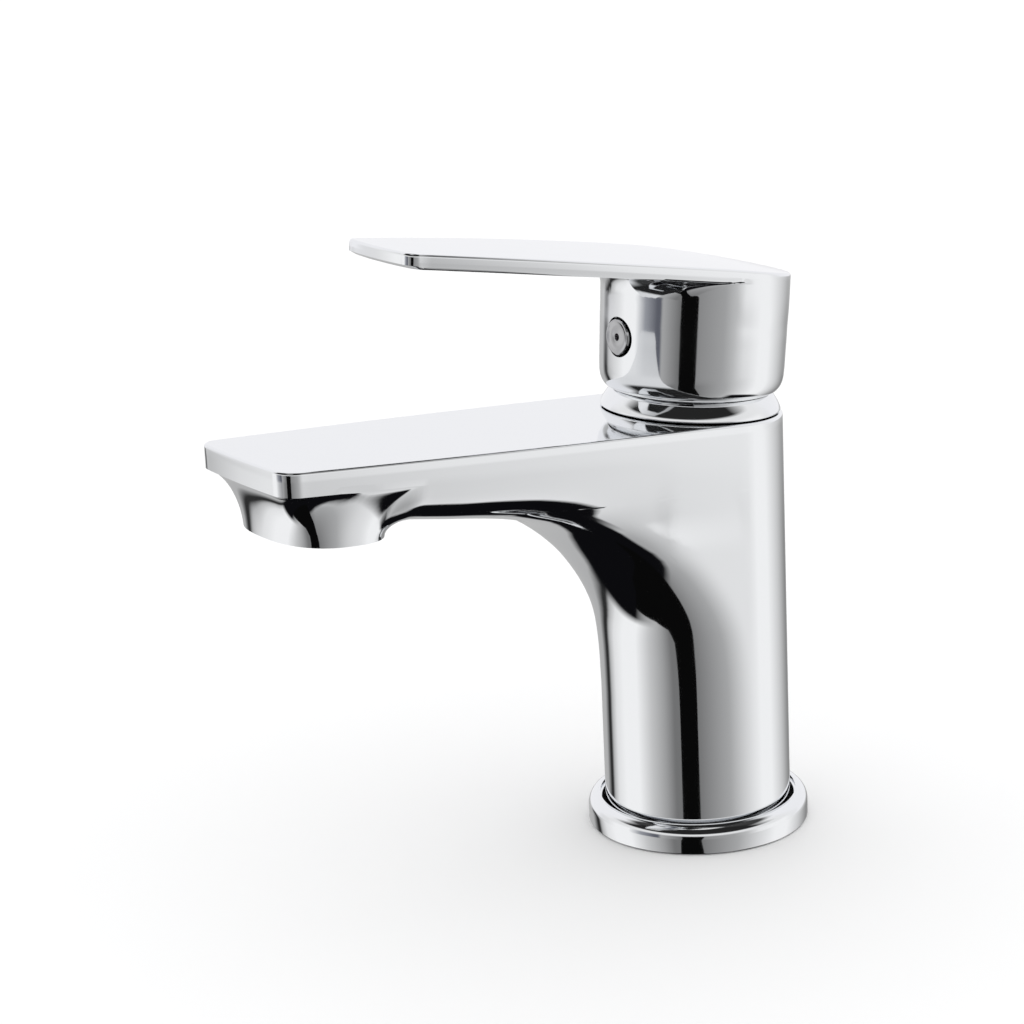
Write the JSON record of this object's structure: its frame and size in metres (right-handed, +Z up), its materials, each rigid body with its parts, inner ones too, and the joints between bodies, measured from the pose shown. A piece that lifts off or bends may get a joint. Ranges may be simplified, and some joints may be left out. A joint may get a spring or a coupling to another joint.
{
  "type": "basin mixer faucet",
  "caption": "Single-lever chrome basin mixer: round column on a base ring, long flat-topped spout, leaning lever handle over a ceramic-disc cartridge.",
  "frame": {"origin": "centre of the underside of the foot, on the column's axis, where the mixer stands on the basin's deck", "axes": "+Z up out of the deck, -Y along the spout towards the user, +X to the right of someone facing +Y, seen from the user's side"},
  "size_m": [0.055, 0.1514, 0.1587],
  "materials": {
    "chrome_body": "cast brass, polished and chromium plated, mirror bright",
    "chrome_trim": "chromium plated, mirror bright",
    "chrome_handle": "die-cast zinc, chromium plated, mirror bright",
    "brass": "turned",
    "steel": "turned stainless",
    "rubber": "matt black moulded",
    "acetal": "off-white moulded",
    "dark_plastic": "dark moulded",
    "ceramic": "lapped alumina ceramic"
  },
  "bodies": {
    "body": {"body_casting": "chrome_body", "base_ring": "chrome_trim", "base_seal": "rubber", "aerator_sleeve": "chrome_trim", "aerator_straightener": "acetal", "aerator_screen": "steel", "aerator_washer": "rubber", "hot_port_seal": "rubber", "cold_port_seal": "rubber", "outlet_port_seal": "rubber", "cartridge_base": "dark_plastic", "fixed_disc": "ceramic", "cartridge_housing": "acetal", "retaining_nut": "brass", "cap": "chrome_trim", "cap_o_ring": "rubber"},
    "turret": {"stem_guide": "acetal", "stem_pin": "steel"},
    "lever": {"stem": "steel", "handle": "chrome_handle", "set_screw": "steel", "index_plug": "steel"},
    "discs": {"moving_disc": "ceramic", "disc_carrier": "dark_plastic"}
  },
  "joints": [
    {"name": "mix", "type": "hinge", "parent": "body", "child": "turret", "pos_m": [0, 0.001, 0.1058], "axis": [0, 0.0872, 0.9962], "range_deg": [-50, 50]},
    {"name": "lift", "type": "hinge", "parent": "turret", "child": "lever", "pos_m": [0, -0.00034, 0.09046], "axis": [-1, 0, 0], "range_deg": [0, 24]},
    {"name": "disc_slide", "type": "slide", "parent": "turret", "child": "discs", "axis": [0, -0.9962, 0.0872], "range_m": [0, 0.00312]}
  ],
  "couplings": [
    {"joint": "disc_slide", "follows": "lift", "m_per_rad": 0.00735}
  ]
}
